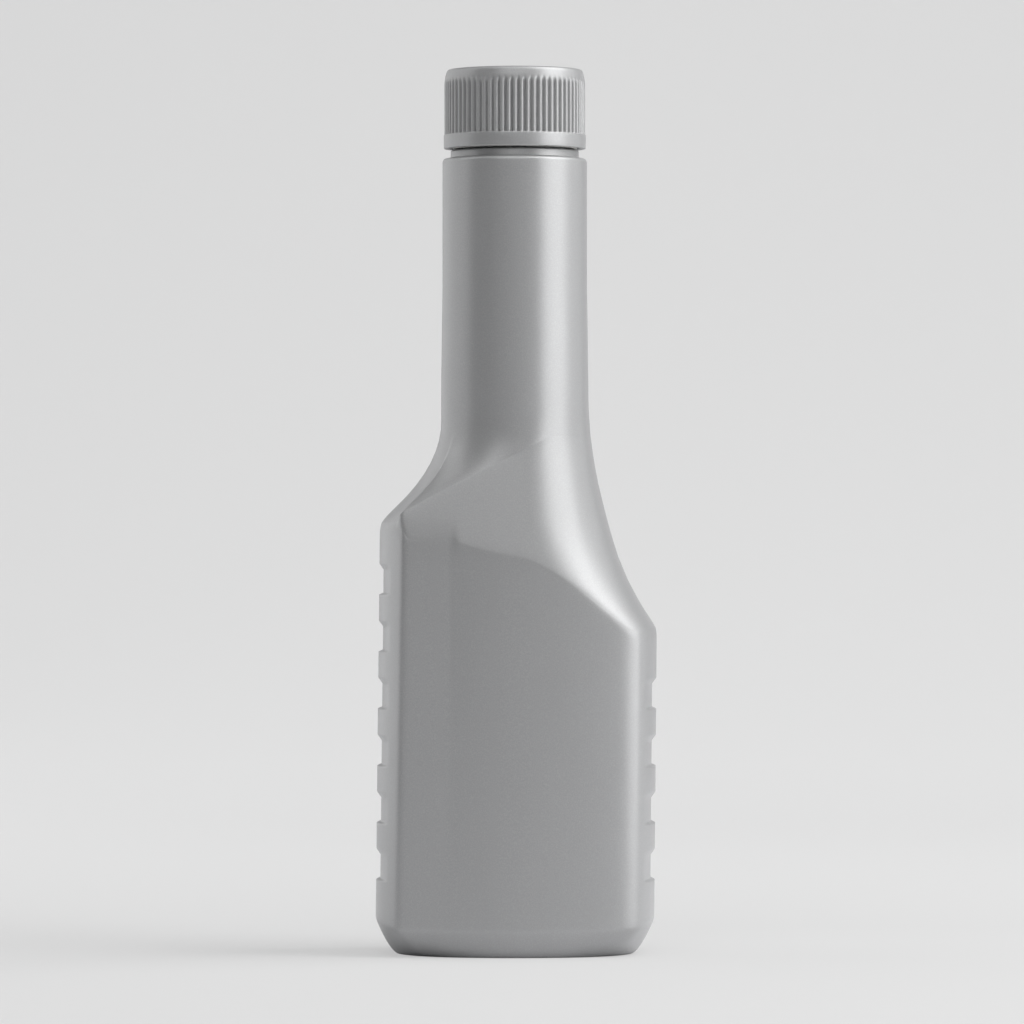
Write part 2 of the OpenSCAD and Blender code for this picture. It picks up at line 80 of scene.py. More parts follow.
# The blown shell: what a user would change
shell = {
    "bodyW": 66.7, "bodyShift": 0.35, "bodyD": 46.0, "panelBowR": 98.0, "sideBowR": 43.0,
    "leftCornerPower": 60, "rightCornerPower": 26,
    "leftDraft": 1.0, "rightDraft": 0.6, "stripTurnLow": 6.5, "stripTurnTop": 2.0, "wall": 1.1,
    "footSideH": 8.2, "footFrontH": 6.2, "footW": 55.6, "footD": 40.5, "footPower": 2.2,
    "footRisePower": 1.55, "rimW": 2.2, "pushUpH": 3.0,
    "leftShoulderZ": 102.0, "leftNeckZ": 126.0, "rightFlareZ": 133.5,
    "flankJointZ": 106.5, "flankBendZ": 99.5, "flankUpperR": 106.0, "flankLowerR": 64.0,
    "facetZ": 94.0, "facetLean": 11.4, "facetTurn": 2.6,
    "facetBowR": 125.0, "facetBowW": 8.8, "facetBowX": 10.0,
    "flankSoftZ": 101.0, "flankCrispH": 27.0, "flankSoftPower": 2, "flankCrispPower": 2.9, "neckBlend": 1.2,
    "creaseSlope": 0.49, "creaseZ": 118.0, "creaseEndX": 9.0, "creaseFadeStartA": 14, "creaseFadeEndA": 36,
    "lowRound": 0.3, "highRound": 0.45, "leastRound": 0.05, "cornerEase": 1.3,
    "grooveZ": 20.6, "groovePitch": 13.5, "grooveFloorH": 5.35, "grooveLedgeH": 0.5, "grooveRampH": 1.6,
    "grooveDepth": 1.0, "grooveReach": 15.5, "grooveEase": 0.6, "leftGrooves": 6, "rightGrooves": 4,
    "neckD": 34.3, "neckRootD": 34.9, "neckRootZ": 135.0, "neckDraftZ": 158.0, "neckTopZ": 188.3,
    "neckRound": 1.0, "neckTopT": 1.5,
    "collarD": 30.4, "collarH": 1.9, "finishD": 25.1, "threadD": 27.4, "boreD": 22.0, "finishH": 14.7,
    "threadStartH": 3.6, "threadPitch": 4.233, "threadTurns": 1.4, "threadRootH": 2.1, "threadCrestH": 0.8,
    "seamH": 0.05, "seamW": 0.5, "seamFadeW": 10,  # parting line up the sides, with its widths in degrees
    "pinchH": 0.3, "pinchW": 0.9,  # pinch-off ridge across the foot
}
s = shell
halfW = s["bodyW"] / 2
halfD = s["bodyD"] / 2
cornerA = math.degrees(math.atan2(halfW, halfD))
frontA = cornerA - 7  # the front panel ends here
sideA = cornerA + 6  # and the side wall starts here
stripA = -frontA * 5 / 7  # inner edge of the flat strip beside the left grips
slopeShare = 0.82  # share of a shoulder's height over which its sweep goes on bending
edgeReach = 2.4  # how far a crease's rounding reaches
stripReach = 6
footingZ = 51  # all creases lie above this
steepA = 80  # slopes are taken no steeper than here
halvings = 22  # steps that close in on a height
flankA = math.degrees(math.asin((s["rightFlareZ"] - s["flankJointZ"]) / s["flankUpperR"]))
leftCreaseZ = s["leftShoulderZ"] - 1.5
grooveLow = -s["grooveFloorH"] / 2 - s["grooveLedgeH"]
grooveHigh = s["grooveFloorH"] / 2 + s["grooveRampH"]
sharedZ = s["grooveZ"] + (s["rightGrooves"] - 1) * s["groovePitch"] + grooveHigh


def neckR(z):
    t = clamp((z - s["neckRootZ"]) / (s["neckDraftZ"] - s["neckRootZ"]), 0, 1)
    return mix(s["neckRootD"], s["neckD"], t) / 2


def flankW(z):
    u = max(s["rightFlareZ"] - max(z, s["flankJointZ"]), 0)
    upper = s["flankUpperR"] - math.sqrt(s["flankUpperR"] ** 2 - u * u)
    straight = tanD(flankA) * (s["flankJointZ"] - clamp(z, s["flankBendZ"], s["flankJointZ"]))
    turn = min(sinD(flankA) + (s["flankBendZ"] - min(z, s["flankBendZ"])) / s["flankLowerR"], 0.95)
    lower = s["flankLowerR"] * (cosD(flankA) - math.sqrt(1 - turn * turn))
    return s["neckRootD"] / 2 + upper + straight + lower


def halving(low, high, isBelow):
    for i in range(halvings):
        mid = (low + high) / 2
        low, high = (mid, high) if isBelow(mid) else (low, mid)
    return (low + high) / 2


rightShoulderZ = halving(footingZ, s["rightFlareZ"], lambda z: flankW(z) > halfW + s["bodyShift"])


def panelR(a):
    c = s["panelBowR"] - halfD
    return math.sqrt(s["panelBowR"] ** 2 - (c * sinD(a)) ** 2) - c * cosD(a)


def wallR(w, a):
    c = s["sideBowR"] - w
    return math.sqrt(s["sideBowR"] ** 2 - (c * cosD(a)) ** 2) - c * abs(sinD(a))


def bodyR(a, z):
    if a < 0:
        rise = (z - s["footSideH"]) / (s["leftShoulderZ"] - s["footSideH"])
        side = halfW - s["bodyShift"] - s["leftDraft"] * rise
    else:
        drop = (rightShoulderZ - z) / (rightShoulderZ - s["footSideH"])
        side = halfW + s["bodyShift"] - s["rightDraft"] * drop
    front = panelR(a)
    if a < stripA:  # the flat strip that stands proud of the bow beside the left grips
        turn = mix(s["stripTurnLow"], s["stripTurnTop"], z / s["leftShoulderZ"])
        front = max(front, panelR(stripA) * cosD(stripA + turn) / cosD(a + turn))
    return softMin(front, wallR(side, a), s["leftCornerPower"] if a < 0 else s["rightCornerPower"])


def grooveDrop(a, z):
    count = s["leftGrooves"] if a < 0 else s["rightGrooves"]
    heights = [z - s["grooveZ"] - i * s["groovePitch"] for i in range(count)]
    t = max(min((h - grooveLow) / s["grooveLedgeH"], (grooveHigh - h) / s["grooveRampH"]) for h in heights)
    t = clamp(t, 0, 1)
    t = mix(t, between(t, 0, 1), s["grooveEase"])  # eases the edges of the floor a little
    return s["grooveDepth"] * t * max(1 - (bodyR(a, z) * cosD(a) / s["grooveReach"]) ** 2, 0)


def slopeAt(a):
    return tanD(clamp(a, -steepA, steepA))


def bow(x):
    u = clamp(x, 0, s["facetBowW"])
    return u * (2 * max(x, u) - u) / (2 * s["facetBowR"])


def facetDepth(a, z):
    slope = slopeAt(a)
    deep = halfD + bow(s["facetBowX"]) - (z - s["facetZ"]) * tanD(s["facetLean"])
    flat = deep / (1 - tanD(s["facetTurn"]) * slope)
    return flat - bow(flat * slope + s["facetBowX"])


def facetR(a, z):
    front = ray(facetDepth(a, z), cosD(a))
    if a > 0:
        crisp = clamp((s["flankSoftZ"] - z) / s["flankCrispH"], 0, 1)
        front = softMin(front, flankW(z) / sinD(a), mix(s["flankSoftPower"], s["flankCrispPower"], crisp))
    neck = neckR(z)
    reach = s["neckBlend"] * cosD(a) ** 2 + 0.001
    return max(front, neck) + reach * max(1 - abs(front - neck) / reach, 0) ** 2 / 4


def creases(a):
    low = halving(footingZ, s["rightFlareZ"], lambda z: facetR(a, z) > bodyR(a, z))
    low = clamp(low, sharedZ + 3, leftCreaseZ)  # stays clear of the grooves that both sides have
    slope = slopeAt(a)
    x = facetDepth(0, s["creaseZ"]) * slope / (1 + s["creaseSlope"] * tanD(s["facetLean"]) * slope)
    high = max(s["creaseZ"] + s["creaseSlope"] * clamp(x, -halfW, s["creaseEndX"]), s["leftShoulderZ"])
    return low, high


def shoulderR(a, z, footZ, footR):
    topZ = mix(s["leftNeckZ"], s["neckRootZ"] - 1, between(a, 0, 40))
    u = clamp((topZ - z) / (topZ - footZ), 0, 1)
    sweep = u * u if u < slopeShare else slopeShare * (2 * u - slopeShare)
    return neckR(z) + (footR - neckR(footZ)) * sweep / (slopeShare * (2 - slopeShare))


def skinR(a, z, low, high):
    if z < low:
        r = bodyR(a, z) - grooveDrop(a, z)
    elif z < high:
        facet, body = facetR(a, z), bodyR(a, z)
        ease = s["leastRound"] + s["cornerEase"] * between(-a, frontA - 4, sideA)  # rounds the left corner
        r = min(facet, body) - max(ease - abs(facet - body), 0) ** 2 / (4 * ease)
    else:
        footR = skinR(a, high - 1e-6, low, high + edgeReach)
        fade = between(a, s["creaseFadeStartA"], s["creaseFadeEndA"])
        r = mix(shoulderR(a, z, high, footR), facetR(a, z), fade)
    strip = between(a, -sideA, -frontA) - between(a, stripA, stripA + 4)
    lowRound = mix(s["leastRound"], s["lowRound"], between(a, 20, 50))
    lowRound += strip * stripReach * tanD(s["facetLean"]) / 4
    lowReach = mix(edgeReach, stripReach, strip)
    highRound = mix(s["leastRound"], s["highRound"], between(-a, 45, 65))
    return (r - lowRound * max(1 - abs(z - low) / lowReach, 0) ** 2
            - highRound * max(1 - abs(z - high) / edgeReach, 0) ** 2)


def footOval(a):
    return softMin(ray(s["footW"] / 2, sinD(a)), ray(s["footD"] / 2, cosD(a)), s["footPower"])


# The heel is the edge between the walls and the foot's rounding
heelReach = 0.9
heelTopZ = 9.5


def heelZ(a):
    return mix(s["footFrontH"], s["footSideH"], between(abs(a), frontA, steepA))


def heelEase(a, z):
    lean = (bodyR(a, heelZ(a)) - footOval(a)) / (s["footRisePower"] * heelZ(a))
    return heelReach * lean / 4 * max(1 - abs(z - heelZ(a)) / heelReach, 0) ** 2


# Rows of the shell from the middle of the foot, up the outside, over the mouth and down the inside.
# Each is (zone, value): the zone says how the value places the row on a column.
def shellRows():
    neckTop, topR, rootR = s["neckTopZ"], s["neckD"] / 2, s["neckRootD"] / 2
    collarZ, mouthZ = neckTop + s["collarH"], neckTop + s["finishH"]
    collarR, finishR, boreR = s["collarD"] / 2, s["finishD"] / 2, s["boreD"] / 2
    groove = [grooveLow + d for d in (-0.3, 0, 0.12, 0.25, 0.38, 0.5, 0.8, 1.6)] + [0, 1.4]
    groove += [grooveHigh + d for d in (-1.9, -1.6, -1.35, -0.8, -0.25, 0, 0.4)]
    rest = [5.8, 7.3, 8.8]
    level, fan = [11, 13, 15, 16.3], []
    for i in range(s["leftGrooves"]):
        mid = s["grooveZ"] + i * s["groovePitch"]
        heights = [mid + d for d in groove + rest]
        if i < s["rightGrooves"] - 1:
            level += heights
        elif i == s["rightGrooves"] - 1:
            level += [z for z in heights if z <= sharedZ + 0.01]
            fan += [z for z in heights if z > sharedZ + 0.01]
        else:
            fan += heights
    fan = [z for z in fan if z < leftCreaseZ - 3]
    rows = [("dome", t) for t in (0, 0.1, 0.25, 0.45, 0.65, 0.8, 0.9, 0.96, 1)]
    rows += [("foot", t) for t in (
        0, 0.04, 0.09, 0.15, 0.22, 0.3, 0.38, 0.46, 0.54, 0.62, 0.7, 0.78, 0.85, 0.91, 0.95, 0.98, 1)]
    rows += [("heel", t) for t in (0.06, 0.14, 0.24, 0.5, 1)]
    rows += [("level", z) for z in level]
    rows += [("fan", (z - sharedZ) / (leftCreaseZ - sharedZ)) for z in fan]
    rows += [("fan", t) for t in (0.935, 0.96, 0.98, 0.992)]
    rows += [("facet", t) for t in (
        0, 0.01, 0.025, 0.05, 0.09, 0.15, 0.25, 0.37, 0.5, 0.63, 0.75, 0.85, 0.91, 0.95, 0.975, 0.99)]
    rows += [("sweep", t) for t in (
        0, 0.01, 0.025, 0.05, 0.09, 0.14, 0.2, 0.27, 0.35, 0.43, 0.51, 0.59, 0.67, 0.75, 0.82, 0.88,
        0.93, 0.97)]
    rows += [("neck", (neckR(z), z)) for z in (s["neckRootZ"], 139, 144, 150, s["neckDraftZ"], 168, 178, 185)]
    rows += [("neck", (topR - s["neckRound"] * (1 - cosD(a)), neckTop - s["neckRound"] * (1 - sinD(a))))
             for a in (0, 12, 24, 36, 48, 60, 72, 82, 90)]
    rows += [("neck", p) for p in (
        (collarR + 0.3, neckTop), (collarR + 0.09, neckTop + 0.09), (collarR, neckTop + 0.3),
        (collarR, collarZ - 0.35), (collarR - 0.1, collarZ - 0.1), (collarR - 0.35, collarZ),
        (finishR + 0.3, collarZ), (finishR + 0.08, collarZ + 0.08), (finishR, collarZ + 0.3),
        (finishR, mouthZ - 0.6), (finishR - 0.06, mouthZ - 0.3),
        (finishR - 0.22, mouthZ - 0.08), (finishR - 0.5, mouthZ),
        (boreR + 0.5, mouthZ), (boreR + 0.15, mouthZ - 0.12), (boreR, mouthZ - 0.45),
        (boreR, neckTop - s["neckTopT"]), (topR - s["wall"] - 2, neckTop - s["neckTopT"]),
        (topR - s["wall"], neckTop - s["neckTopT"] - 2), (topR - s["wall"], s["neckDraftZ"]),
        (rootR - s["wall"], s["neckRootZ"]))]
    rows += [("innerSweep", t) for t in (0.8, 0.6, 0.4, 0.25, 0.1, 0)]
    rows += [("innerFacet", t) for t in (0.8, 0.6, 0.4, 0.2, 0)]
    rows += [("innerFan", t) for t in (0.8, 0.6, 0.4, 0.2)]
    rows += [("innerLevel", z) for z in (sharedZ, 61.1, 54.9, 47.6, 41.4, 34.1, 27.9, 20.6, 14)]
    rows += [("innerFoot", t) for t in (1, 0.8, 0.6, 0.4, 0.2, 0)]
    rows += [("innerDome", t) for t in (1, 0.8, 0.4, 0)]
    return rows


def shellPoint(row, a, low, high):
    zone, v = row
    t = s["wall"] if zone.startswith("inner") else 0
    zone = zone.replace("inner", "").lower()
    if zone == "neck":
        return v
    if zone == "dome":
        return (footOval(a) - s["rimW"]) * v, t + s["pushUpH"] * (1 - v ** 4)
    if zone == "foot":
        z = heelZ(a) * v ** s["footRisePower"]
        r = mix(footOval(a), bodyR(a, heelZ(a)), v) - heelEase(a, z)
        return r - t * sinD(90 * v), z + t * cosD(90 * v)
    if zone == "heel":
        z = mix(heelZ(a), heelTopZ, v)
        return bodyR(a, z) - heelEase(a, z), z
    if zone == "level":
        z = v
    elif zone == "fan":
        z = mix(sharedZ, low, v)
    elif zone == "facet":
        z = mix(low, high, v)
    else:
        z = mix(high, s["neckRootZ"], v)
    return skinR(a, z, low, high) - t, z


# A wire of n vertices one unit apart, spun a full turn: a net whose vertices are then moved into place
def spunNet(rows, columns):
    bm = bmesh.new()
    tip = bm.verts.new((-1, 0, 0))
    for i in range(rows - 1):
        tip = bmesh.ops.extrude_vert_indiv(bm, verts=[tip])["verts"][0]
        tip.co.z = i + 1
    bmesh.ops.spin(bm, geom=bm.verts[:] + bm.edges[:], cent=(0, 0, 0), axis=(0, 0, 1),
                   angle=2 * math.pi, steps=columns, use_merge=True)
    net = []
    for v in bm.verts:
        turn = (math.atan2(v.co.y, v.co.x) + math.pi) % (2 * math.pi)
        net.append((v, round(v.co.z), round(turn / (2 * math.pi) * columns) % columns))
    return bm, net


def closeUp(bm, distance=1e-7):
    bmesh.ops.remove_doubles(bm, verts=bm.verts[:], dist=distance)
    bmesh.ops.dissolve_degenerate(bm, edges=bm.edges[:], dist=distance / 2)
    bmesh.ops.recalc_face_normals(bm, faces=bm.faces[:])


def asPiece(bm, name, material, smooth=True):
    for f in bm.faces:
        f.smooth = smooth
    mesh = bpy.data.meshes.new(name)
    bm.to_mesh(mesh)
    bm.free()
    piece = bpy.data.objects.new(name, mesh)
    bpy.context.scene.collection.objects.link(piece)
    mesh.materials.append(material)
    return piece


# Helical ridge: four corners spun with a rise, both ends drawn down into the wall
def threadRidge(rootR, crestR, startZ, turns, pitch, rootH, crestH):
    bm = bmesh.new()
    half = (rootH / 2, crestH / 2)
    shy = crestR - 0.1  # the crest is a little rounded
    corners = [(rootR, -half[0]), (shy, -half[1]), (crestR, 0), (shy, half[1]), (rootR, half[0])]
    ring = [bm.verts.new((r * mm, 0, (startZ + z) * mm)) for r, z in corners]
    face = bm.faces.new(ring)
    count = round(72 * turns)
    bmesh.ops.spin(bm, geom=[face], cent=(0, 0, 0), axis=(0, 0, 1), angle=2 * math.pi * turns, steps=count,
                   dvec=(0, 0, pitch * turns / count * mm))
    for v in bm.verts:
        r = math.hypot(v.co.x, v.co.y) / mm
        rise = v.co.z / mm - startZ
        ends = min(rise + half[1], pitch * turns - rise + half[1])  # distance along the rise from either end
        keep = between(ends, 0.1, 0.7)
        wanted = mix(rootR, r, keep) if (r - rootR) * (crestR - rootR) > 0 else r
        v.co.x *= wanted / r
        v.co.y *= wanted / r
    return bm


def joinInto(bm, other):
    mesh = bpy.data.meshes.new("joining")
    other.to_mesh(mesh)
    other.free()
    bm.from_mesh(mesh)
    bpy.data.meshes.remove(mesh)


def makeShell(material):
    angles = ([-90, -89.7, -89.3] + steps(-88.6, -sideA, 18) + steps(-sideA, -frontA, 22)
              + steps(-frontA, frontA, 70)
              + steps(frontA, sideA, 22) + steps(sideA, 88.6, 18) + [88.6, 89.3, 89.7, 90])
    columns = 2 * len(angles) - 2
    rows = shellRows()
    bm, net = spunNet(len(rows), columns)
    creaseZ = [creases(a) for a in angles]
    outerRows = [i for i, row in enumerate(rows) if not row[0].startswith("inner")]
    lastSeam = max(i for i in outerRows if rows[i][0] != "neck" or rows[i][1][0] >= s["neckD"] / 2)
    for v, row, k in net:
        front = k < len(angles)
        i = k if front else columns - k
        a = angles[i]
        r, z = shellPoint(rows[row], a, *creaseZ[i])
        side = 90 - abs(a)
        if row <= lastSeam:
            if rows[row][0] == "dome":
                z -= s["pinchH"] * max(1 - side / s["pinchW"], 0) * min(r / 3, 1)
            else:
                r -= s["seamH"] * min(side / s["seamW"], 1) * max(1 - side / s["seamFadeW"], 0)
        v.co = (r * sinD(a) * mm, (-1 if front else 1) * r * cosD(a) * mm, max(z, 0) * mm)
    closeUp(bm)
    threadZ = s["neckTopZ"] + s["collarH"] + s["threadStartH"]
    joinInto(bm, threadRidge(s["finishD"] / 2 - 0.3, s["threadD"] / 2, threadZ, s["threadTurns"],
                             s["threadPitch"], s["threadRootH"], s["threadCrestH"]))
    bmesh.ops.recalc_face_normals(bm, faces=bm.faces[:])
    return asPiece(bm, "bottle_shell", material)


# The ribbed outer cap: what a user would change
cap = {
    "ribD": 33.4, "ribCount": 68, "ribDepth": 0.7, "ribDrop": 2.5, "ribRunOut": 1.3,
    "topZ": 209.4, "skirtZ": 190.6, "bandH": 3.3, "bandStep": 0.15, "bandEdge": 0.25,
    "boreD": 30.9, "ceilingZ": 208.2, "beadZ": 192.1, "beadH": 0.8, "beadR": 14.97,
    "teeth": 8, "toothH": 1.3, "toothW": 2.8, "toothShare": 0.42, "teethBoreD": 21.0,
    "ribSection": (1, 0.97, 0.88, 0.66, 0.25, 0, 0.25, 0.66, 0.88, 0.97),  # height of one rib round its pitch
}


def makeCap(material):
    c = cap
    ridge, valley = c["ribD"] / 2, c["ribD"] / 2 - c["ribDepth"]
    band, bandTop = ridge + c["bandStep"], c["skirtZ"] + c["bandH"]
    bore, edge, top = c["boreD"] / 2, c["bandEdge"], c["topZ"]
    tip = top - c["ribDrop"]
    # Each row is (height, radius on a rib, radius in a valley), from the middle of the ceiling outwards
    rows = [(c["ceilingZ"], r, r) for r in (0, 5, 10, 13, bore - 0.4)]
    rows += [(c["ceilingZ"] - 0.4, bore, bore), (c["beadZ"] + c["beadH"] + 0.1, bore, bore)]
    rows += [(c["beadZ"] + c["beadH"], c["beadR"], c["beadR"]), (c["beadZ"], c["beadR"], c["beadR"])]
    rows += [(c["beadZ"] - 0.3, bore, bore), (c["skirtZ"] + 0.2, bore, bore)]
    rows += [(c["skirtZ"], bore + 0.2, bore + 0.2)]
    foot = [(c["skirtZ"] + edge * (1 - sinD(a)), band - edge * (1 - cosD(a))) for a in (90, 60, 30, 0)]
    head = [(bandTop - edge + edge * sinD(a), band - c["bandStep"] * (1 - cosD(a))) for a in (0, 40, 70)]
    rows += [(z, r, r) for z, r in foot + head]
    rows += [(bandTop, ridge + 0.02, ridge - 0.1), (bandTop + 0.1, ridge - 0.03, valley + 0.12)]
    rows += [(bandTop + 0.25, ridge - 0.01, valley + 0.02), (bandTop + 0.5, ridge, valley)]
    rows += [(mix(bandTop + 0.5, top - 3.8, t), ridge, valley) for t in (0.33, 0.66, 1)]
    # drop from the top, step in from the ribs
    crown = [(3.8, 0), (3.3, 0.01), (2.9, 0.05), (2.5, 0.1), (2.0, 0.18), (1.6, 0.26),
             (1.1, 0.4), (0.75, 0.49), (0.5, 0.6), (0.3, 0.74), (0.12, 0.95), (0.04, 1.2),
             (0.01, 1.45), (0, 1.7), (0, 3.5), (0, 8), (0, ridge)]
    for drop, inset in crown:
        z, r = top - drop, ridge - inset
        sunk = between(tip + 0.1 - z, 0, c["ribRunOut"])
        rows.append((z, r, min(r, mix(r, valley, sunk))))
    columns = c["ribCount"] * len(c["ribSection"])
    bm, net = spunNet(len(rows), columns)
    for v, row, k in net:
        z, high, low = rows[row]
        r = mix(low, high, c["ribSection"][k % len(c["ribSection"])])
        a = 360 * k / columns
        v.co = (-r * cosD(a) * mm, -r * sinD(a) * mm, z * mm)
    closeUp(bm)
    r0, z0 = c["teethBoreD"] / 2, c["ceilingZ"] - c["toothH"]
    r1, z1 = r0 + c["toothW"], c["ceilingZ"] + 0.2
    span = 2 * math.pi * c["toothShare"] / c["teeth"]
    for i in range(c["teeth"]):
        tooth = bmesh.new()
        corners = ((r0, z0), (r1, z0), (r1, z1), (r0, z1))
        face = tooth.faces.new([tooth.verts.new((r * mm, 0, z * mm)) for r, z in corners])
        bmesh.ops.spin(tooth, geom=[face], cent=(0, 0, 0), axis=(0, 0, 1), angle=span, steps=6)
        bmesh.ops.rotate(tooth, verts=tooth.verts[:], cent=(0, 0, 0),
                         matrix=Matrix.Rotation(2 * math.pi * (i + 0.5) / c["teeth"] - span / 2, 3, "Z"))
        bmesh.ops.recalc_face_normals(tooth, faces=tooth.faces[:])
        joinInto(bm, tooth)
    bmesh.ops.recalc_face_normals(bm, faces=bm.faces[:])
    return asPiece(bm, "ribbed_cap", material)


# Shader node groups: they put out only values that change over the surface
def newGroup(name, inputs, outputs):
    group = bpy.data.node_groups.new(name, "ShaderNodeTree")
    for socket, kind, value in inputs:
        item = group.interface.new_socket(socket, in_out="INPUT", socket_type=kind)
        item.default_value = value
    for socket, kind in outputs:
        group.interface.new_socket(socket, in_out="OUTPUT", socket_type=kind)
    return group, group.nodes.new("NodeGroupInput"), group.nodes.new("NodeGroupOutput")


def noiseNode(tree, coords, scale, detail=2.0):
    node = tree.nodes.new("ShaderNodeTexNoise")
    node.inputs["Detail"].default_value = detail
    tree.links.new(coords, node.inputs["Vector"])
    if hasattr(scale, "is_output"):
        tree.links.new(scale, node.inputs["Scale"])
    else:
        node.inputs["Scale"].default_value = scale
    return node.outputs["Fac"]


def mathNode(tree, operation, a, b):
    node = tree.nodes.new("ShaderNodeMath")
    node.operation = operation
    for i, value in enumerate((a, b)):
        if hasattr(value, "is_output"):
            tree.links.new(value, node.inputs[i])
        else:
            node.inputs[i].default_value = value
    return node.outputs[0]


def colourMix(tree, fac, a, b):
    node = tree.nodes.new("ShaderNodeMix")
    node.data_type = "RGBA"
    for key, value in (("Factor", fac), ("A", a), ("B", b)):
        socket = next(i for i in node.inputs if i.name == key and (key == "Factor" or i.type == "RGBA"))
        if hasattr(value, "is_output"):
            tree.links.new(value, socket)
        else:
            socket.default_value = value
    return next(o for o in node.outputs if o.type == "RGBA")


# Fine flakes, slow flow marks and a slightly pebbled skin, as a moulded plastic has
grain = {
    "flakeLevel": 0.42, "flakeDetail": 3, "flowScale": 90, "flowStretch": 0.25, "flowDetail": 3,
    "pebbleScale": 900, "pebbleDetail": 2, "pebbleHeight": 0.6, "flakeHeight": 0.4,
}


def makeMouldedSkin():
    g = grain
    group, start, end = newGroup("mouldedSkin", [
        ("Colour", "NodeSocketColor", (0.5, 0.5, 0.5, 1)),
        ("Flake Colour", "NodeSocketColor", (0.7, 0.7, 0.7, 1)),
        ("Flake Scale", "NodeSocketFloat", 4000.0), ("Flake Amount", "NodeSocketFloat", 0.3),
        ("Flow Amount", "NodeSocketFloat", 0.05), ("Roughness", "NodeSocketFloat", 0.4),
        ("Roughness Spread", "NodeSocketFloat", 0.1)],
        [("Colour", "NodeSocketColor"), ("Roughness", "NodeSocketFloat"), ("Height", "NodeSocketFloat")])
    coords = group.nodes.new("ShaderNodeTexCoord").outputs["Object"]
    flakes = noiseNode(group, coords, start.outputs["Flake Scale"], g["flakeDetail"])
    flakePart = mathNode(group, "SUBTRACT", flakes, g["flakeLevel"])
    flakePart = mathNode(group, "MULTIPLY", flakePart, start.outputs["Flake Amount"])
    stretch = group.nodes.new("ShaderNodeMapping")
    stretch.inputs["Scale"].default_value = (1, 1, g["flowStretch"])
    group.links.new(coords, stretch.inputs["Vector"])
    flow = noiseNode(group, stretch.outputs[0], g["flowScale"], g["flowDetail"])
    flowPart = mathNode(group, "SUBTRACT", flow, 0.5)
    flowPart = mathNode(group, "MULTIPLY", flowPart, start.outputs["Flow Amount"])
    share = mathNode(group, "ADD", flakePart, flowPart)
    colour = colourMix(group, share, start.outputs["Colour"], start.outputs["Flake Colour"])
    pebble = noiseNode(group, coords, g["pebbleScale"], g["pebbleDetail"])
    spread = mathNode(group, "SUBTRACT", pebble, 0.5)
    spread = mathNode(group, "MULTIPLY", spread, start.outputs["Roughness Spread"])
    rough = mathNode(group, "ADD", start.outputs["Roughness"], spread)
    pebbleRise = mathNode(group, "MULTIPLY", pebble, g["pebbleHeight"])
    flakeRise = mathNode(group, "MULTIPLY", flakes, g["flakeHeight"])
    height = mathNode(group, "ADD", pebbleRise, flakeRise)
    group.links.new(colour, end.inputs["Colour"])
    group.links.new(rough, end.inputs["Roughness"])
    group.links.new(height, end.inputs["Height"])
    return group


def plasticMaterial(name, skin, settings):
    material = bpy.data.materials.new(name)
    material.use_nodes = True
    tree = material.node_tree
    shader = tree.nodes["Principled BSDF"]
    node = tree.nodes.new("ShaderNodeGroup")
    node.node_tree = skin
    for key, value in settings["skin"].items():
        node.inputs[key].default_value = value
    tree.links.new(node.outputs["Colour"], shader.inputs["Base Color"])
    tree.links.new(node.outputs["Roughness"], shader.inputs["Roughness"])
    bump = tree.nodes.new("ShaderNodeBump")
    bump.inputs["Strength"].default_value = settings["bump"]
    bump.inputs["Distance"].default_value = settings["bumpDistance"]
    tree.links.new(node.outputs["Height"], bump.inputs["Height"])
    tree.links.new(bump.outputs["Normal"], shader.inputs["Normal"])
    for key, value in settings["shader"].items():
        shader.inputs[key].default_value = value
    return material


finishes = {
    "silverShell": {
        "skin": {"Colour": (0.30, 0.302, 0.305, 1), "Flake Colour": (0.62, 0.62, 0.62, 1),
                 "Flake Scale": 4200.0, "Flake Amount": 0.45, "Flow Amount": 0.06,
                 "Roughness": 0.36, "Roughness Spread": 0.08},
        "shader": {"Metallic": 0.35, "IOR": 1.5, "Coat Weight": 0.12, "Coat Roughness": 0.22},
        "bump": 0.25, "bumpDistance": 0.00004},
    "silverCap": {
        "skin": {"Colour": (0.30, 0.302, 0.305, 1), "Flake Colour": (0.62, 0.62, 0.62, 1),
                 "Flake Scale": 4200.0, "Flake Amount": 0.4, "Flow Amount": 0.03,
                 "Roughness": 0.36, "Roughness Spread": 0.06},
        "shader": {"Metallic": 0.35, "IOR": 1.5, "Coat Weight": 0.0},
        "bump": 0.2, "bumpDistance": 0.00003},
    "naturalInner": {
        "skin": {"Colour": (0.74, 0.74, 0.71, 1), "Flake Colour": (0.84, 0.84, 0.82, 1),
                 "Flake Scale": 1500.0, "Flake Amount": 0.3, "Flow Amount": 0.2,
                 "Roughness": 0.42, "Roughness Spread": 0.08},
        "shader": {"IOR": 1.49, "Coat Weight": 0.0},
        "bump": 0.2, "bumpDistance": 0.00004},
    "foamWad": {
        "skin": {"Colour": (0.80, 0.80, 0.77, 1), "Flake Colour": (0.90, 0.90, 0.88, 1),
                 "Flake Scale": 2600.0, "Flake Amount": 0.9, "Flow Amount": 0.05,
                 "Roughness": 0.75, "Roughness Spread": 0.2},
        "shader": {"IOR": 1.4},
        "bump": 0.6, "bumpDistance": 0.0001},
}
skin = makeMouldedSkin()
materials = {name: plasticMaterial(name, skin, settings) for name, settings in finishes.items()}
print("materials made:", ", ".join(materials))

bottle = makeShell(materials["silverShell"])
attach(bottle, "bottle")
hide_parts("bottle")
print("shell made:", len(bottle.data.polygons), "faces")

ribbedCap = makeCap(materials["silverCap"])
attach(ribbedCap, "outer_cap")
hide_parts("outer_cap")
print("cap made:", len(ribbedCap.data.polygons), "faces")

